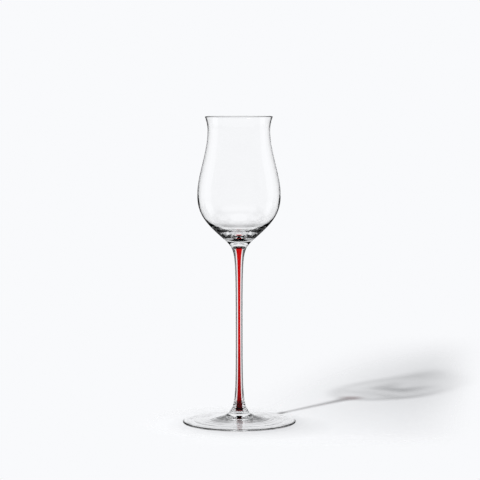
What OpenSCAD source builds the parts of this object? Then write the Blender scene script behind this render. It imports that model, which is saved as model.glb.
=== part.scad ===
/* [Bowl] */
// Height of the bowl from its seat on the stem to the lip
bowl_h = 88.5; // [82:0.5:96]
// Outer diameter across the lip
lip_d = 46.2; // [44:0.2:50]
// Glass thickness from the lip down to the throat
lip_wall = 0.9; // [0.7:0.1:1.6]
// Drop from the lip to the throat, the narrowest part of the opening
throat_drop = 9.8; // [7:0.2:14]
// Outer diameter at the throat
throat_d = 42.6; // [38:0.2:44]
// Drop from the lip to the widest part of the belly
belly_drop = 54; // [48:0.5:58]
// Outer diameter at the belly
belly_d = 56.9; // [52:0.1:62]
// Glass thickness at the belly
belly_wall = 1.2; // [0.8:0.1:1.8]
// How far the outside keeps the belly's curve before it turns in
belly_fullness = 13.4; // [12:0.2:15]
// How far the underside runs straight before it reaches the shoulder
underside_fullness = 16.4; // [14:0.2:19]
// Slope of the underside at the shoulder, in degrees above level
shoulder_slope = 41; // [36:1:46]
// Diameter of the shoulder, where the underside turns down into the boss
shoulder_d = 19; // [17:0.2:22]
// Height of the shoulder above the seat
shoulder_h = 3.8; // [3:0.1:5]
// Thickness of the solid base under the inside of the bowl
base_t = 6.6; // [5.6:0.1:9]
// How far below half way between shoulder and belly the inside turns in
inside_fullness = 5.45; // [0:0.05:5.6]
// How far the floor of the inside stays nearly level from the middle
floor_fullness = 7; // [4:0.2:9]

/* [Stem] */
// Length of the stem between its two seats
stem_l = 114.5; // [80:0.5:140]
// Diameter at the thinnest part
stem_waist_d = 4.3; // [4:0.1:6]
// Diameter of the head, which meets the bowl
stem_head_d = 12; // [10:0.1:14]
// Length over which the head flares
stem_head_flare = 10; // [7:0.5:14]
// Diameter of the base, which meets the foot
stem_base_d = 13.6; // [12:0.1:16]
// Length over which the base flares
stem_base_flare = 9.7; // [7:0.1:14]

/* [Red thread] */
// Diameter at the thinnest part
thread_waist_d = 0.95; // [0.6:0.05:1.6]
// Diameter at the stem's head
thread_head_d = 3.4; // [2.4:0.1:5]
// Length over which the upper end flares
thread_head_flare = 12; // [8:0.5:18]
// Diameter at the stem's base
thread_base_d = 3.6; // [2.4:0.1:5]
// Length over which the lower end flares
thread_base_flare = 16; // [10:0.5:20]

/* [Foot] */
// Outer diameter of the foot
foot_d = 77.6; // [68:0.2:86]
// Height of the foot at its boss, which meets the stem
foot_h = 7; // [5.5:0.1:9]
// Thickness of the foot's rounded edge
foot_edge_t = 1.2; // [1:0.1:2]
// Rise of the foot's gentle cone from the edge to the boss
foot_rise = 2.6; // [2:0.1:3.5]
// Width over which the boss runs out into the cone
boss_flare = 6.6; // [4:0.2:10]
// Width of the flat ring that the glass stands on
rest_ring_w = 1.4; // [1:0.2:4]
// Depth of the hollow inside the ring
hollow_depth = 3.2; // [2:0.1:3.6]
// Form of the hollow: 1 is a plain cone, 2 is a round dome
hollow_roundness = 1.3; // [1.2:0.1:2]

/* [Hidden] */
$fn = 120;
clear_glass = [0.90, 0.93, 0.94, 0.45];
red_glass = [0.72, 0.02, 0.03];
curve_steps = 16;
rod_steps = 56;
lip_steps = 8;
// Heights of the two seats above the table
stem_z = foot_h;
bowl_z = foot_h + stem_l;

// Point on a cubic curve from a to d, leaving towards b and arriving from c
function curve_point(a, b, c, d, t) =
    pow(1 - t, 3) * a + 3 * pow(1 - t, 2) * t * b + 3 * (1 - t) * pow(t, 2) * c + pow(t, 3) * d;

// Points along that curve, without its last one
function curve(a, b, c, d) =
    [for (i = [0:curve_steps - 1]) curve_point(a, b, c, d, i / curve_steps)];

function reversed(points) = [for (i = [len(points) - 1:-1:0]) points[i]];

// From 0 to 1 with a level start and end
function ease(t) = t * t * (3 - 2 * t);

// Share of a flare that is left at a distance from its wide end
function flare(distance, length) = 1 / pow(1 + distance / length, 2);

// Radius of a drawn rod at height z: thin at the waist, flaring to both ends
function rod_r(z, waist_d, head_d, head_flare, base_d, base_flare) =
    (waist_d
        + (head_d - waist_d) * flare(stem_l - z, head_flare)
        + (base_d - waist_d) * flare(z, base_flare)) / 2;

function stem_r(z) =
    rod_r(z, stem_waist_d, stem_head_d, stem_head_flare, stem_base_d, stem_base_flare);

function thread_r(z) =
    rod_r(z, thread_waist_d, thread_head_d, thread_head_flare, thread_base_d, thread_base_flare);

// Heights along a rod, close together at both ends, where the flares are
rod_heights = [for (i = [0:rod_steps]) stem_l * (1 - cos(180 * i / rod_steps)) / 2];
stem_outline = [for (z = rod_heights) [stem_r(z), z]];
// The casing's bore and the thread in it share this outline, because they are fused
thread_outline = [for (z = rod_heights) [thread_r(z), z]];

// Bowl heights are measured from its seat
belly_z = bowl_h - belly_drop;
throat_z = bowl_h - throat_drop;
belly_r = belly_d / 2;
throat_r = throat_d / 2;
boss_r = stem_r(stem_l);

// Slope of the stem's head at the seat, as a direction in radius and height
head_slope = (stem_head_d - stem_waist_d) / stem_head_flare;
head_direction = [head_slope, 1] / norm([head_slope, 1]);
shoulder = [shoulder_d / 2, shoulder_h];
shoulder_direction = [cos(shoulder_slope), sin(shoulder_slope)];
boss_handle = norm(shoulder - [boss_r, 0]) / 3;

// The boss rises from the seat to the shoulder as one curve with the stem's head
boss_outline = curve(
    [boss_r, 0],
    [boss_r, 0] + boss_handle * head_direction,
    shoulder - boss_handle * shoulder_direction,
    shoulder);

underside_outline = curve(
    shoulder,
    shoulder + underside_fullness * shoulder_direction,
    [belly_r, belly_z - belly_fullness],
    [belly_r, belly_z]);

// One face of the wall between belly and throat, without the throat's point
function belly_to_throat(low_r, high_r) =
    [for (i = [0:curve_steps - 1])
        let (t = i / curve_steps)
        [low_r + (high_r - low_r) * ease(t), belly_z + (throat_z - belly_z) * t]];

// Middle of the lip's wall, from the throat up to the centre of the round lip
lip_centre = [lip_d / 2 - lip_wall / 2, bowl_h - lip_wall / 2];
lip_start = [throat_r - lip_wall / 2, throat_z];
lip_span = lip_centre - lip_start;

function lip_middle(t) = lip_start + [lip_span.x * t * t, lip_span.y * t];

// Direction across the wall at that place, pointing outwards
function lip_across(t) =
    let (slope = 2 * lip_span.x * t / lip_span.y)
    [1, -slope] / norm([1, -slope]);

function lip_face(side) =
    [for (i = [0:lip_steps - 1])
        let (t = i / lip_steps)
        lip_middle(t) + side * lip_wall / 2 * lip_across(t)];

// Half circle over the top of the lip, from its outside to its inside
lip_turn = atan2(lip_across(1).y, lip_across(1).x);
lip_outline = [for (i = [0:lip_steps])
    let (angle = lip_turn + 180 * i / lip_steps)
    lip_centre + lip_wall / 2 * [cos(angle), sin(angle)]];

// The inside follows the outside: it turns in between the heights of shoulder and belly
inside_r = belly_r - belly_wall;
inside_turn_z = (shoulder_h + belly_z) / 2 - inside_fullness;
floor_outline = curve(
    [0, base_t],
    [floor_fullness, base_t],
    [inside_r, inside_turn_z],
    [inside_r, belly_z]);

bowl_outline = concat(
    [[0, 0]],
    boss_outline,
    underside_outline,
    belly_to_throat(belly_r, throat_r),
    lip_face(1),
    lip_outline,
    reversed(lip_face(-1)),
    reversed(belly_to_throat(inside_r, throat_r - lip_wall)),
    reversed(floor_outline));

// Foot: the boss takes its radius from the stem's base
foot_r = foot_d / 2;
seat_r = stem_r(0);
edge_r = foot_r - foot_edge_t / 2;
ring_r = edge_r - rest_ring_w;
boss_rise = foot_h - foot_edge_t - foot_rise;
run_out = flare(edge_r - seat_r, boss_flare);

// Height of the foot's upper face at radius r
function foot_top(r) =
    foot_edge_t
        + foot_rise * (edge_r - r) / (edge_r - seat_r)
        + boss_rise * (flare(r - seat_r, boss_flare) - run_out) / (1 - run_out);

// Radii from the boss to the edge, close together at the boss
foot_radii = [for (i = [0:curve_steps]) seat_r + (edge_r - seat_r) * pow(i / curve_steps, 2)];

foot_outline = concat(
    [[0, foot_h]],
    [for (r = foot_radii) [r, foot_top(r)]],
    [for (i = [1:lip_steps])
        let (angle = 90 - 180 * i / lip_steps)
        [edge_r, foot_edge_t / 2] + foot_edge_t / 2 * [cos(angle), sin(angle)]],
    [for (i = [0:curve_steps])
        let (share = 1 - i / curve_steps)
        [ring_r * share, hollow_depth * (1 - pow(share, hollow_roundness))]]);

module bowl() {
    color(clear_glass)
        translate([0, 0, bowl_z])
            rotate_extrude()
                polygon(bowl_outline);
}

module stem() {
    color(clear_glass)
        translate([0, 0, stem_z])
            rotate_extrude()
                polygon(concat(stem_outline, reversed(thread_outline)));
}

module red_thread() {
    color(red_glass)
        translate([0, 0, stem_z])
            rotate_extrude()
                polygon(concat([[0, 0]], thread_outline, [[0, stem_l]]));
}

module foot() {
    color(clear_glass)
        rotate_extrude()
            polygon(foot_outline);
}

bowl();
stem();
red_thread();
foot();
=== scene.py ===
# %% [markdown]
# A tasting glass, dressed piece by piece
#
# This lesson dresses a small stem glass for spirits: a blown tulip bowl, a thin drawn stem with a
# red thread of glass inside it, and a round foot. Clear glass has no colour of its own, so nearly
# everything that we see is bent or mirrored surroundings. That is why the lesson spends as much
# care on exact outlines and on the studio as on the materials.
#
# The frame holds the solids of the same glass. Every piece made here replaces one of them and
# takes its place and size from it.

# %% Load the frame
import math

import bmesh
import bpy
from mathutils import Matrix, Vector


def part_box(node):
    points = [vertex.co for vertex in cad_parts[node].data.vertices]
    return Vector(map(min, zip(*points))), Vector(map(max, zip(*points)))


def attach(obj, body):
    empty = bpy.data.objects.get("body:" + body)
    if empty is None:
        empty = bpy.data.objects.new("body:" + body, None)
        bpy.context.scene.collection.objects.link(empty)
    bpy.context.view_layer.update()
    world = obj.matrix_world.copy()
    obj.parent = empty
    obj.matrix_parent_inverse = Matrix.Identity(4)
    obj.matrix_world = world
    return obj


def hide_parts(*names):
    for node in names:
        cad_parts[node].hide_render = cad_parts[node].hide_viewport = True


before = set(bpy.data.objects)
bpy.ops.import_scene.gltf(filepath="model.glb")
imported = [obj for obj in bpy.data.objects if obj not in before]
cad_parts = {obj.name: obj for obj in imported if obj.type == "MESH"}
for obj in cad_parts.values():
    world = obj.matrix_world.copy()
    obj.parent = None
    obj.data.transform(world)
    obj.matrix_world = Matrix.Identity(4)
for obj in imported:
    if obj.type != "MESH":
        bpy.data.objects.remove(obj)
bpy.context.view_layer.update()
print("nodes of the frame:", sorted(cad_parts))

# %% [markdown]
# The camera
#
# The foot is seen as a flat ellipse and the lip as almost a line, so the camera stands only a
# little above the lip and looks slightly down. A long lens from more than a metre away keeps the
# stem's sides parallel, as they look on a product picture. The image is square.

# %% Stand the camera in front of the glass
camera_data = bpy.data.cameras.new("camera")
camera_data.sensor_width = 36
camera_data.lens = 147.4
camera_data.shift_x = 0.002
camera = bpy.data.objects.new("camera", camera_data)
camera.location = (0, -1.339, 0.2297)
camera_pitch = math.radians(4.45)
camera_roll = math.radians(-0.09)
camera.rotation_mode = "ZYX"
camera.rotation_euler = (math.pi / 2 - camera_pitch, 0, camera_roll)
bpy.context.scene.collection.objects.link(camera)
bpy.context.scene.camera = camera
print("camera at", tuple(camera.location))
print("camera looks down by", round(math.degrees(camera_pitch), 2), "degrees")

# %% [markdown]
# Turning an outline into a solid
#
# Every piece of this glass is round, so each is made the way a lathe would make it: an outline of
# radius and height is carried around the axis. Blender's Screw modifier does the same, but here
# some faces need a material of their own, so the rings are built directly. Corners of the outline
# are marked sharp, because a smooth corner would tilt the normals next to it, and glass shows the
# slightest tilt.

# %% A lathe for closed outlines
MM = 0.001
ON_AXIS = 1e-6


def turned_piece(name, outline, segments, corners=(), closed=False):
    """A mesh object from points of radius, height and material, in millimetres.

    The material of a point goes on the band between it and the next point.
    """
    shape = bmesh.new()
    rings = []
    for radius, height, band in outline:
        if radius < ON_AXIS:
            rings.append([shape.verts.new((0, 0, height * MM))])
            continue
        ring = []
        for step in range(segments):
            angle = 2 * math.pi * step / segments
            across = radius * math.cos(angle) * MM
            along = radius * math.sin(angle) * MM
            ring.append(shape.verts.new((across, along, height * MM)))
        rings.append(ring)
    pairs = list(zip(range(len(rings)), range(1, len(rings))))
    if closed:
        pairs.append((len(rings) - 1, 0))
    for index, next_index in pairs:
        first, second = rings[index], rings[next_index]
        for step in range(segments):
            following = (step + 1) % segments
            around = [first[step % len(first)], first[following % len(first)]]
            around += [second[following % len(second)], second[step % len(second)]]
            face = shape.faces.new(list(dict.fromkeys(around)))
            face.smooth = True
            face.material_index = outline[index][2]
    for index in corners:
        ring = rings[index]
        for step in range(segments):
            edge = shape.edges.get((ring[step], ring[(step + 1) % segments]))
            edge.smooth = False
    bmesh.ops.recalc_face_normals(shape, faces=shape.faces)
    mesh = bpy.data.meshes.new(name)
    shape.to_mesh(mesh)
    shape.free()
    piece = bpy.data.objects.new(name, mesh)
    bpy.context.scene.collection.objects.link(piece)
    print(name, "has", len(mesh.vertices), "vertices and", len(mesh.polygons), "faces")
    return piece


# %% [markdown]
# The curves of hot glass
#
# Soft glass flows into long smooth curves. Two kinds are enough here: a cubic curve with a handle
# at each end, for the bowl's base, and a flare, which widens quickly close to its end and fades
# out along the rod, for the drawn stem.

# %% Curves and flares
def curve(a, b, c, d, count):
    """Points on a cubic curve from a to d, without the last one."""
    points = []
    for step in range(count):
        far = step / count
        near = 1 - far
        shares = (near**3, 3 * near**2 * far, 3 * near * far**2, far**3)
        radius = sum(share * point[0] for share, point in zip(shares, (a, b, c, d)))
        height = sum(share * point[1] for share, point in zip(shares, (a, b, c, d)))
        points.append((radius, height))
    return points


def ease(t):
    """From 0 to 1 with a level start and end."""
    return t * t * (3 - 2 * t)


def flare(distance, length):
    """Share of a flare that is left at a distance from its wide end."""
    return 1 / (1 + distance / length) ** 2


def millimetres(node):
    """Lowest and highest corner of a CAD node, in millimetres."""
    low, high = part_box(node)
    return [v / MM for v in low], [v / MM for v in high]


CLEAR, FUSED = 0, 1
bowl_low, bowl_high = millimetres("bowl")
stem_low, stem_high = millimetres("stem")
foot_low, foot_high = millimetres("foot")
stem_length = stem_high[2] - stem_low[2]
print("stem from", round(stem_low[2], 2), "to", round(stem_high[2], 2), "mm")
print("lip at", round(bowl_high[2], 2), "mm")

# %% [markdown]
# Stem and thread
#
# The stem is drawn out of a clear gather with a red rod in its middle. Both are pulled at the same
# time, so the thread thins and flares where the casing does. The casing is a long tube and the
# thread fills its bore. Rings stand close together at both ends, where the flares are.

# %% Outlines of the two rods
stem_sizes = {"waist": 4.3, "head": 12.0, "head_flare": 10.0, "base": 13.6, "base_flare": 9.7}
thread_sizes = {"waist": 0.95, "head": 3.4, "head_flare": 12.0, "base": 3.6, "base_flare": 16.0}
ROD_STEPS = 110


def rod_radius(height, sizes):
    """Radius of a drawn rod at a height above the foot's boss."""
    head = (sizes["head"] - sizes["waist"]) * flare(stem_length - height, sizes["head_flare"])
    base = (sizes["base"] - sizes["waist"]) * flare(height, sizes["base_flare"])
    return (sizes["waist"] + head + base) / 2


rod_heights = []
for step in range(ROD_STEPS + 1):
    rod_heights.append(stem_length * (1 - math.cos(math.pi * step / ROD_STEPS)) / 2)
casing = [(rod_radius(h, stem_sizes), stem_low[2] + h, CLEAR) for h in rod_heights]
bore = [(rod_radius(h, thread_sizes), stem_low[2] + h, FUSED) for h in rod_heights]
casing[-1] = (*casing[-1][:2], FUSED)
stem_outline = casing + bore[::-1]
thread_side = [(r, z, CLEAR) for r, z, band in bore]
thread_outline = [(0, stem_low[2], CLEAR)] + thread_side + [(0, stem_high[2], CLEAR)]
print("stem waist", round(min(2 * r for r, z, band in casing), 2), "mm across")
print("thread waist", round(min(2 * r for r, z, band in bore), 2), "mm across")

# %% Turn the two rods
STEM_SEGMENTS = 96
THREAD_SEGMENTS = 48
stem_corners = (0, ROD_STEPS, ROD_STEPS + 1, 2 * ROD_STEPS + 1)
thread_corners = (1, ROD_STEPS + 1)
drawn_stem = turned_piece("drawn_stem", stem_outline, STEM_SEGMENTS, corners=stem_corners, closed=True)
thread_core = turned_piece("thread_core", thread_outline, THREAD_SEGMENTS, corners=thread_corners)

# %% [markdown]
# The bowl
#
# The bowl is blown, so its wall is thin and even down to the belly, and below that the glass
# gathers into a solid base. The lip opens a little and is melted round. The inside runs down to a
# small rounded floor: its slope against the outside decides where the base turns dark, because
# there the light is mirrored inside the glass.

# %% Sizes of the bowl, with heights measured up from the stem
bowl_height = bowl_high[2] - bowl_low[2]
belly_radius = (bowl_high[0] - bowl_low[0]) / 2
belly_drop = 54.0
belly_height = bowl_height - belly_drop
belly_wall = 1.2
throat_radius = 21.3
throat_drop = 9.8
throat_height = bowl_height - throat_drop
lip_radius = 23.1
lip_wall = 0.9
shoulder = (9.5, 3.8)
shoulder_slope = math.radians(41)
seat_radius = rod_radius(stem_length, stem_sizes)
print("belly", round(2 * belly_radius, 2), "mm across, seat", round(2 * seat_radius, 2), "mm across")

# %% From the stem up to the belly
BOSS_STEPS = 24
UNDERSIDE_STEPS = 44
belly_fullness = 13.4
underside_fullness = 16.4


def along_slope(point, slope, distance):
    """The place at a distance from a point, along a slope above level."""
    return point[0] + distance * math.cos(slope), point[1] + distance * math.sin(slope)


boss_handle = math.hypot(shoulder[0] - seat_radius, shoulder[1]) / 3
head_slope = math.atan2(stem_sizes["head_flare"], stem_sizes["head"] - stem_sizes["waist"])
boss_start = along_slope((seat_radius, 0), head_slope, boss_handle)
boss_end = along_slope(shoulder, shoulder_slope, -boss_handle)
boss = curve((seat_radius, 0), boss_start, boss_end, shoulder, BOSS_STEPS)
belly = (belly_radius, belly_height)
underside_start = along_slope(shoulder, shoulder_slope, underside_fullness)
underside_end = (belly_radius, belly_height - belly_fullness)
underside = curve(shoulder, underside_start, underside_end, belly, UNDERSIDE_STEPS)
print("the stem's head meets the boss at", round(math.degrees(head_slope), 1), "degrees above level")

# %% From the belly up to the throat
WALL_STEPS = 40


def wall_face(low_radius, high_radius):
    """One face of the wall from the belly up to the throat, without the throat's point."""
    points = []
    for step in range(WALL_STEPS):
        t = step / WALL_STEPS
        radius = low_radius + (high_radius - low_radius) * ease(t)
        points.append((radius, belly_height + (throat_height - belly_height) * t))
    return points


print("wall rises", round(throat_height - belly_height, 2), "mm from belly to throat")

# %% The lip, from the throat up and over its round edge
LIP_STEPS = 20
EDGE_STEPS = 12
lip_centre = (lip_radius - lip_wall / 2, bowl_height - lip_wall / 2)
lip_start = (throat_radius - lip_wall / 2, throat_height)
lip_span = (lip_centre[0] - lip_start[0], lip_centre[1] - lip_start[1])


def across_lip(t):
    """Direction across the lip's wall, pointing outwards."""
    slope = 2 * lip_span[0] * t / lip_span[1]
    length = math.hypot(1, slope)
    return 1 / length, -slope / length


def lip_face(side):
    """The outside (1) or inside (-1) of the lip's wall."""
    points = []
    for step in range(LIP_STEPS):
        t = step / LIP_STEPS
        outward = across_lip(t)
        radius = lip_start[0] + lip_span[0] * t * t + side * lip_wall / 2 * outward[0]
        height = lip_start[1] + lip_span[1] * t + side * lip_wall / 2 * outward[1]
        points.append((radius, height))
    return points


lip_turn = math.atan2(across_lip(1)[1], across_lip(1)[0])
lip_round = []
for step in range(EDGE_STEPS + 1):
    angle = lip_turn + math.pi * step / EDGE_STEPS
    lip_round.append(along_slope(lip_centre, angle, lip_wall / 2))
print("lip", round(2 * max(r for r, z in lip_round), 2), "mm across")

# %% Close the bowl's outline along its inside and turn it
WIDE_SEGMENTS = 180
FLOOR_STEPS = 56
inside_radius = belly_radius - belly_wall
inside_fullness = 5.45
base_thickness = 6.6
floor_fullness = 7.0
floor_handle = (floor_fullness, base_thickness)
inside_handle = (inside_radius, (shoulder[1] + belly_height) / 2 - inside_fullness)
inside_belly = (inside_radius, belly_height)
inside_floor = curve((0, base_thickness), floor_handle, inside_handle, inside_belly, FLOOR_STEPS)
inside_wall_face = wall_face(inside_radius, throat_radius - lip_wall)
bowl_face = boss + underside + wall_face(belly_radius, throat_radius) + lip_face(1) + lip_round
bowl_face += lip_face(-1)[::-1] + inside_wall_face[::-1] + inside_floor[::-1]
bowl_outline = [(0, bowl_low[2], FUSED)] + [(r, bowl_low[2] + z, CLEAR) for r, z in bowl_face]
blown_bowl = turned_piece("blown_bowl", bowl_outline, WIDE_SEGMENTS, corners=(1,))

# %% [markdown]
# The foot
#
# The foot is a disc of glass pressed out flat and turned while hot, thin at its melted edge and
# rising to the boss under the stem. Its underside is hollowed like a low cone, so that the glass
# stands only on a narrow ring and never rocks.

# %% Sizes of the foot
edge_thickness = 1.2
foot_rise = 2.6
boss_flare = 6.6
ring_width = 1.4
hollow_depth = 3.2
hollow_roundness = 1.3
foot_height = foot_high[2]
edge_radius = (foot_high[0] - foot_low[0]) / 2 - edge_thickness / 2
ring_radius = edge_radius - ring_width
foot_seat_radius = rod_radius(0, stem_sizes)
boss_rise = foot_height - edge_thickness - foot_rise
run_out = flare(edge_radius - foot_seat_radius, boss_flare)
print("foot stands on a ring", round(2 * ring_radius, 2), "to", round(2 * edge_radius, 2), "mm across")

# %% Outline of the foot
TOP_STEPS = 60
HOLLOW_STEPS = 40


def foot_top(radius):
    """Height of the foot's upper face."""
    cone = foot_rise * (edge_radius - radius) / (edge_radius - foot_seat_radius)
    rise = boss_rise * (flare(radius - foot_seat_radius, boss_flare) - run_out) / (1 - run_out)
    return edge_thickness + cone + rise


foot_outline = [(0, foot_height, FUSED)]
for step in range(TOP_STEPS + 1):
    radius = foot_seat_radius + (edge_radius - foot_seat_radius) * (step / TOP_STEPS) ** 2
    foot_outline.append((radius, foot_top(radius), CLEAR))
half_edge = edge_thickness / 2
for step in range(1, EDGE_STEPS + 1):
    angle = math.pi / 2 - math.pi * step / EDGE_STEPS
    foot_outline.append((*along_slope((edge_radius, half_edge), angle, half_edge), CLEAR))
for step in range(HOLLOW_STEPS + 1):
    share = 1 - step / HOLLOW_STEPS
    foot_outline.append((ring_radius * share, hollow_depth * (1 - share**hollow_roundness), CLEAR))
pressed_foot = turned_piece("pressed_foot", foot_outline, WIDE_SEGMENTS, corners=(1,))

# %% [markdown]
# The surface of hand-worked glass
#
# Fire-polished glass is smooth to the touch, but it is never as flat as a lens: the bowl was
# turned against a wet block and the foot between wooden jaws, which leaves faint rings around the
# axis and a soft unevenness. Several materials share this, so it is a node group. It gives only a
# height, and each material decides how strongly a Bump node uses it.

# %% Helpers for nodes
def add_node(tree, kind, **values):
    """A node with values set on its properties or inputs, and links made from sockets."""
    node = tree.nodes.new(kind)
    for name, value in values.items():
        if hasattr(node, name):
            setattr(node, name, value)
            continue
        numbered = name[0] == "_" and name[1:].isdigit()
        key = int(name[1:]) if numbered else name.replace("_", " ").title()
        if isinstance(value, bpy.types.NodeSocket):
            tree.links.new(value, node.inputs[key])
        else:
            node.inputs[key].default_value = value
    return node


def calculate(tree, operation, first, second=0.0):
    """The result of a Math node."""
    return add_node(tree, "ShaderNodeMath", operation=operation, _0=first, _1=second).outputs[0]


# %% A node group for tool rings and soft waves
tool_marks = bpy.data.node_groups.new("tool_marks", "ShaderNodeTree")
for name, default in (("Ring Scale", 300.0), ("Ring Share", 0.5), ("Wave Scale", 60.0)):
    socket = tool_marks.interface.new_socket(name, in_out="INPUT", socket_type="NodeSocketFloat")
    socket.default_value = default
tool_marks.interface.new_socket("Height", in_out="OUTPUT", socket_type="NodeSocketFloat")
given = tool_marks.nodes.new("NodeGroupInput").outputs
result = tool_marks.nodes.new("NodeGroupOutput")
place = add_node(tool_marks, "ShaderNodeTexCoord").outputs["Object"]
axes = add_node(tool_marks, "ShaderNodeSeparateXYZ", _0=place)
across = calculate(tool_marks, "POWER", axes.outputs["X"], 2.0)
along = calculate(tool_marks, "POWER", axes.outputs["Y"], 2.0)
from_middle = calculate(tool_marks, "SQRT", calculate(tool_marks, "ADD", across, along))
down_the_side = calculate(tool_marks, "ADD", from_middle, axes.outputs["Z"])
ring_noise = add_node(
    tool_marks, "ShaderNodeTexNoise", noise_dimensions="1D",
    W=down_the_side, Scale=given["Ring Scale"], Detail=2.0)
soft_waves = add_node(
    tool_marks, "ShaderNodeTexNoise", Vector=place, Scale=given["Wave Scale"], Detail=0.0)
ring_height = calculate(tool_marks, "MULTIPLY", ring_noise.outputs["Fac"], given["Ring Share"])
mark_height = calculate(tool_marks, "ADD", ring_height, soft_waves.outputs["Fac"])
tool_marks.links.new(mark_height, result.inputs["Height"])
print("node group", tool_marks.name, "has", [s.name for s in tool_marks.interface.items_tree])

# %% [markdown]
# Clear crystal
#
# Crystal is a plain glass shader: full transmission, no roughness and an index of 1.52. Its dark
# lines come from the room that it bends and mirrors, so nothing is painted on. Only light on its
# way to the table needs help, because a lamp doesn't reach the table through a refracting surface.
# For that light the Light Path node swaps the glass for a transparent shader, which the Layer
# Weight node dims where the lamp grazes the glass. Stem and foot also let the table gather light
# from all around that way. The bowl stays glass for it, so that Blender can work out the bright
# lines that its curve focuses on the table.
#
# The bowl's upper wall is thin and hardly bends light. Seen straight through the mouth it is the
# transparent shader too, so that no black card of the studio fills the mouth from the side.

# %% Helpers for the bowl's mouth and for ramps
UPRIGHT = 0.8


def set_ramp(node, stops):
    """Gives a colour ramp these stops of position and colour in place of its own."""
    ramp = node.color_ramp
    while len(ramp.elements) > 1:
        ramp.elements.remove(ramp.elements[-1])
    ramp.elements[0].position = stops[0][0]
    ramp.elements[0].color = (*stops[0][1], 1)
    for position, colour in stops[1:]:
        ramp.elements.new(position).color = (*colour, 1)


def grey(level):
    """A colour with the same level of red, green and blue."""
    return level, level, level


def seen_in_mouth(tree, light_path):
    """One where the camera sees the upright wall's inside first, and where it looks out of that wall."""
    surface = add_node(tree, "ShaderNodeNewGeometry").outputs
    level = add_node(
        tree, "ShaderNodeVectorMath", operation="MULTIPLY", _0=surface["Position"], _1=(1, 1, 0))
    outward = add_node(tree, "ShaderNodeVectorMath", operation="NORMALIZE", _0=level.outputs["Vector"])
    turned_out = add_node(
        tree, "ShaderNodeVectorMath", operation="DOT_PRODUCT",
        _0=outward.outputs["Vector"], _1=surface["Normal"])
    inside = calculate(tree, "LESS_THAN", turned_out.outputs["Value"], -UPRIGHT)
    inside_or_leaving = calculate(tree, "MAXIMUM", inside, surface["Backfacing"])
    return calculate(tree, "MULTIPLY", inside_or_leaving, light_path["Is Camera Ray"])


# %% A function for crystal
CRYSTAL_INDEX = 1.52


def clear_crystal(name, shadow_stops, ring_scale, ring_share, wave_scale, bump, focuses=False):
    """Clear glass. The stops say how much light passes to the table, from facing the lamp to grazing."""
    material = bpy.data.materials.new(name)
    material.use_nodes = True
    tree = material.node_tree
    shader = tree.nodes["Principled BSDF"]
    output = tree.nodes["Material Output"]
    shader.inputs["Base Color"].default_value = (1, 1, 1, 1)
    shader.inputs["Roughness"].default_value = 0.0
    shader.inputs["IOR"].default_value = CRYSTAL_INDEX
    shader.inputs["Transmission Weight"].default_value = 1.0
    marks = add_node(tree, "ShaderNodeGroup", node_tree=tool_marks)
    marks.inputs["Ring Scale"].default_value = ring_scale
    marks.inputs["Ring Share"].default_value = ring_share
    marks.inputs["Wave Scale"].default_value = wave_scale
    bumped = add_node(
        tree, "ShaderNodeBump", Strength=bump, Distance=MM, Height=marks.outputs["Height"])
    tree.links.new(bumped.outputs["Normal"], shader.inputs["Normal"])
    facing = add_node(tree, "ShaderNodeLayerWeight", Blend=0.5).outputs["Facing"]
    lit_through = add_node(tree, "ShaderNodeValToRGB", _0=facing)
    set_ramp(lit_through, shadow_stops)
    dimmed = add_node(tree, "ShaderNodeBsdfTransparent", Color=lit_through.outputs["Color"])
    light_path = add_node(tree, "ShaderNodeLightPath").outputs
    also_straight = seen_in_mouth(tree, light_path) if focuses else light_path["Is Diffuse Ray"]
    goes_straight = calculate(tree, "MAXIMUM", light_path["Is Shadow Ray"], also_straight)
    either = add_node(
        tree, "ShaderNodeMixShader", _0=goes_straight, _1=shader.outputs[0], _2=dimmed.outputs[0])
    tree.links.new(either.outputs[0], output.inputs["Surface"])
    print("material", name, "with rings of scale", ring_scale, "and waves of scale", wave_scale)
    return material


# %% Crystal for bowl, stem and foot
bowl_shadow = [(0.0, grey(0.955)), (0.45, grey(0.95)), (0.75, grey(0.86)), (1.0, grey(0.66))]
stem_shadow = [(0.0, (0.16, 0.02, 0.02)), (1.0, (0.06, 0.0, 0.0))]
foot_shadow = [(0.0, grey(0.962)), (0.6, grey(0.938)), (1.0, grey(0.68))]
bowl_crystal = clear_crystal(
    "bowl_crystal", bowl_shadow, ring_scale=260, ring_share=0.3, wave_scale=45, bump=0.05, focuses=True)
stem_crystal = clear_crystal(
    "stem_crystal", stem_shadow, ring_scale=200, ring_share=0.2, wave_scale=70, bump=0.03)
foot_crystal = clear_crystal(
    "foot_crystal", foot_shadow, ring_scale=420, ring_share=0.9, wave_scale=60, bump=0.12)

# %% [markdown]
# Fused seams
#
# Where two pieces of glass are melted together there is no surface any more, and light goes
# straight on. The pieces stay separate solids here, so the faces in their seams get a fully
# transparent material. Without it every seam would shine like a mirror inside the glass.

# %% The seam
fused_seam = bpy.data.materials.new("fused_seam")
fused_seam.use_nodes = True
seam_tree = fused_seam.node_tree
seam_tree.nodes.remove(seam_tree.nodes["Principled BSDF"])
seam_shader = add_node(seam_tree, "ShaderNodeBsdfTransparent", Color=(1, 1, 1, 1))
seam_tree.links.new(seam_shader.outputs[0], seam_tree.nodes["Material Output"].inputs["Surface"])
print("material", fused_seam.name, "lets all light through")
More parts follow.
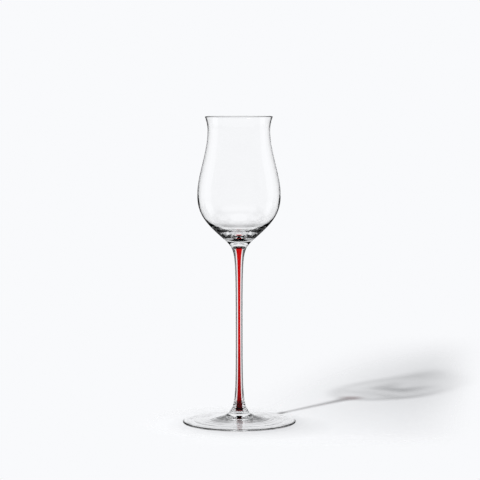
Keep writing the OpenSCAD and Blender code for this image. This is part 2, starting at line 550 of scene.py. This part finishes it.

# %% [markdown]
# Red glass
#
# The thread is clear red glass with the same index as the casing, so light is tinted but not bent
# where it crosses from one to the other. An index of 1 between the two says just that. Drawing
# the rod out stretched every unevenness into long streaks, so a noise that is stretched along the
# axis varies the red a little. Towards the foot the thread is wider, and a ramp over the height
# paints its red darker there: this darkening is painted shade.

# %% Red glass with drawn streaks
red_glass = bpy.data.materials.new("thread_glass")
red_glass.use_nodes = True
red_tree = red_glass.node_tree
red_shader = red_tree.nodes["Principled BSDF"]
red_shader.inputs["Roughness"].default_value = 0.0
red_shader.inputs["IOR"].default_value = 1.0
red_shader.inputs["Transmission Weight"].default_value = 1.0
red_place = add_node(red_tree, "ShaderNodeTexCoord").outputs["Object"]
stretched = add_node(red_tree, "ShaderNodeMapping", Vector=red_place, Scale=(900, 900, 40))
streaks = add_node(
    red_tree, "ShaderNodeTexNoise", Vector=stretched.outputs[0], Scale=1.0, Detail=2.0)
reds = add_node(red_tree, "ShaderNodeValToRGB", _0=streaks.outputs["Fac"])
set_ramp(reds, [(0.3, (0.54, 0.0, 0.0)), (0.7, (0.66, 0.0, 0.002))])
print("material", red_glass.name, "has", len(red_tree.nodes), "nodes so far")

# %% Painted shade on the red towards the foot, and the thread's shadow
RED_SHADED_UP_TO = 100 * MM
red_height = add_node(red_tree, "ShaderNodeSeparateXYZ", _0=red_place).outputs["Z"]
height_share = add_node(red_tree, "ShaderNodeMapRange", _0=red_height)
height_share.inputs["From Max"].default_value = RED_SHADED_UP_TO
red_shade_ramp = add_node(red_tree, "ShaderNodeValToRGB", _0=height_share.outputs[0])
# Painted shade: the thread's red is darkened towards the foot by height alone.
red_shade_levels = ((0.09, 0.1), (0.14, 0.3), (0.18, 0.52), (0.28, 0.62), (0.4, 0.74), (0.55, 1.0))
set_ramp(red_shade_ramp, [(share, grey(level)) for share, level in red_shade_levels])
red_painted_shade = add_node(
    red_tree, "ShaderNodeVectorMath", operation="MULTIPLY",
    _0=reds.outputs["Color"], _1=red_shade_ramp.outputs["Color"])
red_tree.links.new(red_painted_shade.outputs[0], red_shader.inputs["Base Color"])
red_shadow = add_node(red_tree, "ShaderNodeBsdfTransparent", Color=(0.8, 0.25, 0.25, 1))
red_shadow_ray = add_node(red_tree, "ShaderNodeLightPath").outputs["Is Shadow Ray"]
red_either = add_node(
    red_tree, "ShaderNodeMixShader",
    _0=red_shadow_ray, _1=red_shader.outputs[0], _2=red_shadow.outputs[0])
red_tree.links.new(red_either.outputs[0], red_tree.nodes["Material Output"].inputs["Surface"])
print("material", red_glass.name, "has", len(red_tree.nodes), "nodes")

# %% Put the materials on and hand the pieces to the frame
for piece, materials, node, slot in (
    (blown_bowl, (bowl_crystal, fused_seam), "bowl", "clear_crystal"),
    (drawn_stem, (stem_crystal, fused_seam), "stem", "clear_crystal"),
    (thread_core, (red_glass,), "red_thread", "red_glass"),
    (pressed_foot, (foot_crystal, fused_seam), "foot", "clear_crystal"),
):
    for material in materials:
        piece.data.materials.append(material)
    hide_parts(node)
    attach(piece, "root")
    print(piece.name, "stands for", node)

# %% [markdown]
# The studio
#
# Clear glass on white is lit from behind: the background and the table are white, with black cards
# beside them and a dim room around the camera. Glass that bends or mirrors the cards draws itself
# in dark lines. Here the world holds the white boards, each as a panel with soft edges, and all
# else is black. The Light Path node counts how often light was bent and mirrored on its way, and
# each kind of way has its own boards, as a photographer would shift boards until every line looks
# right.

# %% Directions of the world
world = bpy.data.worlds.new("studio")
bpy.context.scene.world = world
world.use_nodes = True
sky = world.node_tree
view = add_node(sky, "ShaderNodeTexCoord").outputs["Generated"]
view_axes = add_node(sky, "ShaderNodeSeparateXYZ", _0=view)
sideways = calculate(sky, "ABSOLUTE", view_axes.outputs["X"])
turn_angle = calculate(sky, "ARCTAN2", sideways, view_axes.outputs["Y"])
turn_share = calculate(sky, "DIVIDE", turn_angle, math.pi)
rise_angle = calculate(sky, "ARCSINE", view_axes.outputs["Z"])
rise_share = calculate(sky, "ADD", calculate(sky, "DIVIDE", rise_angle, math.pi), 0.5)


def panel(turn_stops, rise_stops):
    """Brightness by degrees away from straight behind the glass, times that by degrees above level."""
    turn_ramp = add_node(sky, "ShaderNodeValToRGB", _0=turn_share)
    set_ramp(turn_ramp, [(degrees / 180, grey(level)) for degrees, level in turn_stops])
    rise_ramp = add_node(sky, "ShaderNodeValToRGB", _0=rise_share)
    set_ramp(rise_ramp, [((degrees + 90) / 180, grey(level)) for degrees, level in rise_stops])
    return calculate(sky, "MULTIPLY", turn_ramp.outputs["Color"], rise_ramp.outputs["Color"])


def boards(name, *panels):
    """The brightest of several panels in every direction."""
    level = panel(*panels[0])
    for stops in panels[1:]:
        level = calculate(sky, "MAXIMUM", level, panel(*stops))
    print("boards", name, "have", len(panels), "panels")
    return level


ALL_ROUND = [(0, 1)]
ALL_HEIGHTS = [(0, 1)]

# %% [markdown]
# Boards for light that was only bent
#
# Light that goes straight through one wall, such as the stem or the edge of the bowl, meets black
# cards to the left and right of the background. They give the stem its dark sides. Light through
# several walls, such as the front and the back of the bowl, has no cards, so that the bowl is
# clear from every side. Below the background both see the table's far edge a little darker.

# %% Boards behind one wall and behind several
table_edge = [(-52, 0.1), (-44, 0.6), (-38, 1), (-30, 1), (-26, 0.66), (-21, 0.66), (-15, 0.95), (-10, 1)]
through_one_wall = boards(
    "through one wall",
    ([(25, 1.047), (32, 0.1), (60, 0.1), (70, 0.7), (85, 1)], table_edge),
    (ALL_ROUND, [(-60, 1), (-56, 0), (-36, 0), (-32, 1), (-14.5, 1), (-11.5, 0)]))
through_two_walls = boards(
    "through two walls",
    ([(0, 1.047)], table_edge))

# %% [markdown]
# Boards for mirrored light
#
# The outside of the glass mirrors narrow boards behind it and wide ones at its sides. Light that
# has entered may be mirrored once or more often, in one wall or after crossing several. Light
# that was mirrored often makes the pattern of bright and dark in the bowl's thick base, so these
# boards are the smallest.

# %% Boards mirrored outside
outside = boards(
    "outside",
    ([(16, 1), (19, 0)], [(-2, 0), (1, 1), (15, 1), (18, 0.77), (40, 0.77), (60, 0)]),
    ([(6, 1), (9, 0)], [(-18, 0), (-15, 1), (1, 1), (3, 0)]),
    ([(45, 0), (55, 0.4), (68, 0.5), (73, 0.8), (93, 0.8), (98, 0.15)],
     [(-16, 0), (-12, 1), (50, 1), (65, 0)]),
    ([(66, 0), (73, 1), (93, 1), (98, 0.15)], [(-42, 0), (-36, 1), (-12, 1), (-8, 0)]),
    ([(50, 0), (56, 1), (118, 1), (138, 0.15)], [(-61, 0), (-57, 1), (-41, 1), (-37, 0)]))

# %% Boards mirrored once inside
thin_wall = boards(
    "thin wall",
    (ALL_ROUND, [(4, 0), (7, 1)]),
    ([(13, 0), (24, 1)], [(-4, 0), (-1, 1)]),
    ([(24, 0), (33, 1)], [(-14, 0), (-12, 1)]),
    ([(13, 0), (24, 1)], [(-45, 0), (-35, 1), (-12, 1), (-9, 0)]),
    ([(84, 0), (90, 1), (97, 1), (101, 0)], ALL_HEIGHTS),
    ([(84, 0), (92, 1)], [(-52, 1), (-48, 0), (-34, 0), (-30, 1)]))
far_wall = boards(
    "far wall",
    ([(60, 1), (100, 0.6), (120, 0.5)], [(-50, 0), (-40, 1), (24, 1), (38, 0)]),
    ([(108, 0), (120, 0.9)], [(24, 0.55), (40, 1), (68, 1), (75, 0)]))

# %% Boards mirrored more often inside
inside_wall = boards(
    "inside wall",
    ([(28, 1), (34, 0.4), (52, 0.5), (58, 0)], [(2, 0), (5, 1), (42, 1), (48, 0)]),
    ([(40, 1), (46, 0)], [(24, 0), (30, 1), (54, 1), (60, 0)]),
    ([(20, 1), (24, 0)], [(-6, 0), (-3, 1), (5, 1), (8, 0)]),
    ([(12, 1), (20, 0.3), (22, 0)], [(-34, 0), (-28, 1), (-15, 1), (-13, 0)]),
    ([(20, 0), (23, 1), (42, 1), (50, 0.5), (70, 0.3), (76, 0)], [(-32, 1), (-28, 0)]),
    ([(40, 0), (44, 1), (62, 1), (68, 0)], [(2, 0), (4, 1), (8, 1), (10, 0)]),
    ([(28, 0), (31, 1), (50, 1), (56, 0)], [(-18, 0), (-14, 1), (8, 1), (12, 0)]),
    ([(100, 0), (108, 1)], [(-28, 1), (-24, 0)]),
    ([(116, 0), (122, 1)], [(1, 0), (4, 1), (12, 1), (15, 0)]),
    ([(56, 0), (62, 0.07), (114, 0.07), (120, 0)], ALL_HEIGHTS))
behind_walls = boards(
    "behind walls",
    (ALL_ROUND, [(-47, 0), (-42, 1), (3, 1), (6, 0)]),
    ([(85, 1), (92, 0)], [(2, 0), (5, 1), (18, 1), (21, 0)]),
    ([(22, 0), (25, 1), (55, 1), (64, 0.2), (88, 0.2), (92, 0)],
     [(17, 0), (21, 1), (60, 1), (64, 0.5)]),
    ([(58, 0), (62, 0.77), (86, 0.77), (92, 0)], [(38, 0), (42, 1), (56, 1), (62, 0)]),
    ([(24, 0.8), (40, 0.6), (46, 0)], [(56, 0), (60, 1)]))

# %% Count how the light came
MOST_IN_ONE_WALL = 3.5
WHITE = 0.955
AMBIENT = 0.2
COOL = (0.992, 1.0, 1.019)


def choose(factor, first, second):
    """The first value where the factor is zero, the second where it is one."""
    return add_node(sky, "ShaderNodeMix", Factor=factor, A=first, B=second).outputs["Result"]


path = add_node(sky, "ShaderNodeLightPath").outputs
several = calculate(sky, "GREATER_THAN", path["Transmission Depth"], MOST_IN_ONE_WALL)
entered = calculate(sky, "MINIMUM", path["Transmission Depth"], 1.0)
mirrored = calculate(sky, "MINIMUM", path["Glossy Depth"], 1.0)
once = calculate(sky, "LESS_THAN", path["Glossy Depth"], 1.5)
on_the_table = calculate(sky, "MINIMUM", path["Diffuse Depth"], 1.0)
print("white is", WHITE, "and the light on the table from all around", AMBIENT)

# %% Choose the boards by that
mirrored_once = choose(several, thin_wall, far_wall)
mirrored_often = choose(several, inside_wall, behind_walls)
mirrored_room = choose(entered, outside, choose(once, mirrored_often, mirrored_once))
backdrop = choose(entered, 1.0, choose(several, through_one_wall, through_two_walls))
seen = calculate(sky, "MULTIPLY", choose(mirrored, backdrop, mirrored_room), WHITE)
seen = choose(on_the_table, seen, AMBIENT)
tinted = add_node(sky, "ShaderNodeVectorMath", operation="SCALE", _0=COOL, _3=seen).outputs[0]
background = sky.nodes["Background"]
sky.links.new(tinted, background.inputs["Color"])
background.inputs["Strength"].default_value = 1.0
world.cycles.sampling_method = "NONE"
print("world has", len(sky.nodes), "nodes")

# %% [markdown]
# The table
#
# The table is plain matt white. It is only a patch around the foot and the shadow, and its edges
# fade into the white of the world, as they do on a cut-out product picture. Little light gets
# under the front of the foot, so a soft shade is painted there, with a ramp over the distance from
# a place a little in front of the axis.

# %% Table
table_reach = 0.6
table_mesh = bpy.data.meshes.new("table")
table_corners = [(-table_reach, -table_reach, 0), (table_reach, -table_reach, 0)]
table_corners += [(table_reach, table_reach, 0), (-table_reach, table_reach, 0)]
table_mesh.from_pydata(table_corners, [], [(0, 1, 2, 3)])
table = bpy.data.objects.new("table", table_mesh)
table.location.z = -0.2 * MM
bpy.context.scene.collection.objects.link(table)
table_white = bpy.data.materials.new("table_white")
table_white.use_nodes = True
table_mesh.materials.append(table_white)
table_tree = table_white.node_tree
table_tree.nodes.remove(table_tree.nodes["Principled BSDF"])
matt = add_node(table_tree, "ShaderNodeBsdfDiffuse")
passed = add_node(table_tree, "ShaderNodeBsdfTransparent")
print("table reaches", 2 * table_reach, "m across, its patch is smaller")

# %% Fade the table's edges
LEFT_SLANT, LEFT_EDGE = 0.3, (-0.04, 0.09)
RIGHT_SLANT, RIGHT_EDGE = 0.15, (0.165, 0.11)
FRONT_EDGE = (-0.105, -0.03)
BACK_EDGE = (0.5, 0.1)
ROUND_EDGE = (0.075, 0.036)
table_place = add_node(table_tree, "ShaderNodeTexCoord").outputs["Object"]
table_axes = add_node(table_tree, "ShaderNodeSeparateXYZ", _0=table_place)
table_x, table_y = table_axes.outputs["X"], table_axes.outputs["Y"]


def faded(distance, none_at, all_at):
    """Nothing at one distance, all at another, and a soft change between them."""
    ramp = add_node(
        table_tree, "ShaderNodeMapRange", interpolation_type="SMOOTHSTEP", _0=distance)
    ramp.inputs["From Min"].default_value = none_at
    ramp.inputs["From Max"].default_value = all_at
    return ramp.outputs[0]


def leaned(slant):
    """Distance to the right of a line through the axis that leans to the right."""
    return calculate(table_tree, "ADD", table_x, calculate(table_tree, "MULTIPLY", table_y, -slant))


def all_of(*shares):
    """The product of shares."""
    product = shares[0]
    for share in shares[1:]:
        product = calculate(table_tree, "MULTIPLY", product, share)
    return product


from_axis = add_node(
    table_tree, "ShaderNodeVectorMath", operation="LENGTH", _0=table_place).outputs["Value"]
sides = all_of(faded(leaned(LEFT_SLANT), *LEFT_EDGE), faded(leaned(RIGHT_SLANT), *RIGHT_EDGE))
front_and_back = all_of(faded(table_y, *FRONT_EDGE), faded(table_y, *BACK_EDGE))
around_foot = faded(from_axis, *ROUND_EDGE)
patch = calculate(table_tree, "MAXIMUM", all_of(sides, front_and_back), around_foot)
print("the table's fading takes", len(table_tree.nodes), "nodes")

# %% Soft shade at the foot
TABLE_WHITE = (0.853, 0.86, 0.876)
TABLE_SHADED = (0.69, 0.696, 0.709)
SHADE_SPAN = 0.08
shade_place = (0.005, -0.018, 0)
from_shade = add_node(
    table_tree, "ShaderNodeVectorMath", operation="DISTANCE", _0=table_place, _1=shade_place)
shade_share = calculate(table_tree, "DIVIDE", from_shade.outputs["Value"], SHADE_SPAN)
shade = add_node(table_tree, "ShaderNodeValToRGB", _0=shade_share)
shade_stops = [(0.08, TABLE_WHITE), (0.25, TABLE_SHADED), (0.35, TABLE_SHADED), (0.75, TABLE_WHITE)]
set_ramp(shade, shade_stops)
print("shade reaches", round(shade_stops[-1][0] * SHADE_SPAN / MM), "mm from its middle")

# %% [markdown]
# The table as the glass sees it
#
# Light that the glass has bent follows its own rules. If it runs along the table past the foot, it
# misses the table and sees the studio. If it comes down steeply, it sees white everywhere. Close
# behind the stem and under it the table's colour is painted dark, as if a black card lay there: this
# painted dark patch draws the dark lines where the stem flares into the foot. Light that was mirrored
# passes the table altogether.

# %% How the light arrives
table_path = add_node(table_tree, "ShaderNodeLightPath").outputs
through_glass = calculate(table_tree, "MINIMUM", table_path["Transmission Depth"], 1.0)
through_several = calculate(
    table_tree, "GREATER_THAN", table_path["Transmission Depth"], MOST_IN_ONE_WALL)
straight = calculate(table_tree, "LESS_THAN", table_path["Glossy Depth"], 0.5)
grazing = add_node(table_tree, "ShaderNodeLayerWeight", Blend=0.5).outputs["Facing"]


def flatter_than(degrees):
    """One where light meets the table at less than this angle."""
    return calculate(table_tree, "GREATER_THAN", grazing, 1 - math.sin(math.radians(degrees)))


def the_rest(share):
    """What is left of one."""
    return calculate(table_tree, "SUBTRACT", 1.0, share)


FOOT_REACH = 0.042
past_foot = calculate(table_tree, "GREATER_THAN", from_axis, FOOT_REACH)
print("the table counts as covered by the foot up to", round(FOOT_REACH / MM), "mm from the axis")

# %% Painted dark patch under and behind the stem
DARKENED_BY = 0.9
DARK_REACH = 0.075
MORE_FOR_LEVEL_LIGHT = 0.03
BESIDE = 0.55
SLANTING, LOW, NEARLY_LEVEL = 40.5, 19.9, 15.4
under_stem = all_of(flatter_than(SLANTING), through_several, the_rest(past_foot))
more_reach = calculate(table_tree, "MULTIPLY", flatter_than(NEARLY_LEVEL), MORE_FOR_LEVEL_LIGHT)
dark_reach = calculate(table_tree, "ADD", more_reach, DARK_REACH)
near_foot = calculate(table_tree, "LESS_THAN", from_axis, dark_reach)
from_middle_line = calculate(table_tree, "ABSOLUTE", table_x)
beside_line = calculate(table_tree, "MULTIPLY", table_y, BESIDE)
beside = calculate(table_tree, "GREATER_THAN", from_middle_line, beside_line)
behind = calculate(table_tree, "GREATER_THAN", table_y, 0.0)
behind_stem = all_of(flatter_than(LOW), near_foot, beside, behind, past_foot, through_glass)
dark = calculate(table_tree, "MAXIMUM", under_stem, behind_stem)
# Painted dark patch: the table's colour is darkened here in place of a black card.
left_after_painted_dark = the_rest(calculate(table_tree, "MULTIPLY", dark, DARKENED_BY))
table_colour = add_node(
    table_tree, "ShaderNodeVectorMath", operation="SCALE", _0=shade.outputs["Color"], _3=left_after_painted_dark)
table_tree.links.new(table_colour.outputs[0], matt.inputs["Color"])
print("dark behind the stem up to", round((DARK_REACH + MORE_FOR_LEVEL_LIGHT) / MM), "mm from the axis")

# %% Where the table is seen at all
ALONG_TABLE, STEEP = 16.9, 46.0
missed = all_of(flatter_than(ALONG_TABLE), past_foot, through_glass)
seen_steeply = all_of(the_rest(flatter_than(STEEP)), through_glass)
patch = all_of(patch, the_rest(missed))
patch = calculate(table_tree, "MAXIMUM", patch, seen_steeply)
patch = calculate(table_tree, "MAXIMUM", patch, behind_stem)
table_seen = all_of(patch, straight)
table_mix = add_node(
    table_tree, "ShaderNodeMixShader", _0=table_seen, _1=passed.outputs[0], _2=matt.outputs[0])
table_tree.links.new(table_mix.outputs[0], table_tree.nodes["Material Output"].inputs["Surface"])
print("material", table_white.name, "has", len(table_tree.nodes), "nodes")

# %% [markdown]
# The lamp
#
# One small lamp stands close by, to the left in front. It throws a crisp shadow to the back right
# that widens with the distance. A lamp this near would make the table much brighter on its own
# side, so the Light Falloff node lets its light fade with the distance and not with its square.
# Lamp, bowl and table are marked for shadow caustics: Blender then works out the light that the
# bowl's curve gathers inside its shadow.

# %% Lamp
lamp_data = bpy.data.lights.new("lamp", "POINT")
lamp_data.energy = 33.2
lamp_data.shadow_soft_size = 0.016
lamp_data.use_nodes = True
lamp_tree = lamp_data.node_tree
lamp_level = add_node(lamp_tree, "ShaderNodeLightFalloff", Strength=1.0).outputs["Linear"]
lamp_tree.links.new(lamp_level, lamp_tree.nodes["Emission"].inputs["Strength"])
lamp = bpy.data.objects.new("lamp", lamp_data)
lamp.location = (-0.29, -0.365, 0.55)
bpy.context.scene.collection.objects.link(lamp)
lamp_data.cycles.is_caustics_light = True
blown_bowl.cycles.is_caustics_caster = True
table.cycles.is_caustics_receiver = True
print("lamp", round(lamp.location.length, 2), "m away")

# %% [markdown]
# Enough bounces for glass
#
# A ray that crosses the base of the bowl may be bent and mirrored a dozen times. With too few
# bounces it would be cut off and leave black specks, so the limits go up.

# %% Bounces and colour
cycles = bpy.context.scene.cycles
cycles.max_bounces = 32
cycles.transmission_bounces = 32
cycles.glossy_bounces = 16
cycles.transparent_max_bounces = 32
bpy.context.scene.view_settings.view_transform = "Standard"
print("light may bounce", cycles.max_bounces, "times")
